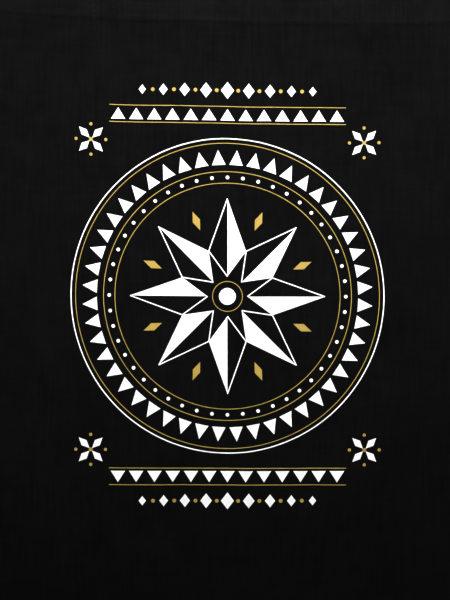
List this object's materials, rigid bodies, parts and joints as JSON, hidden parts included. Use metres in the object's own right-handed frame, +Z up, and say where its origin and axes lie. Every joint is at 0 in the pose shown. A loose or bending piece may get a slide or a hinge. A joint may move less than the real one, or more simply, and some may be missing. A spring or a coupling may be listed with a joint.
{
  "type": "tote bag",
  "caption": "Black canvas tote bag lying on its back, with a hemmed mouth a little open and looped shoulder handles, for carrying shopping and books.",
  "frame": {"origin": "middle of the footprint of the bag and its handles, at floor level, under the back wall", "axes": "+Z up, out of the front wall as the bag lies on its back; +Y from the bottom seam to the mouth and on to the handles; +X to the right as the front is looked at"},
  "size_m": [0.3798, 0.6682, 0.0261],
  "materials": {
    "canvas": "matt black plain weave",
    "facing": "matt black plain weave, turned inside",
    "webbing": "matt black folded strap",
    "thread": "black sewing thread",
    "white_ink": "flat white printing ink",
    "gold_ink": "flat golden yellow printing ink"
  },
  "bodies": {
    "root": {"back_panel": "canvas", "front_panel": "canvas", "back_hem": "facing", "front_hem": "facing", "right_seam": "facing", "left_seam": "facing", "bottom_seam": "facing", "back_handle": "webbing", "front_handle": "webbing"}
  },
  "joints": []
}
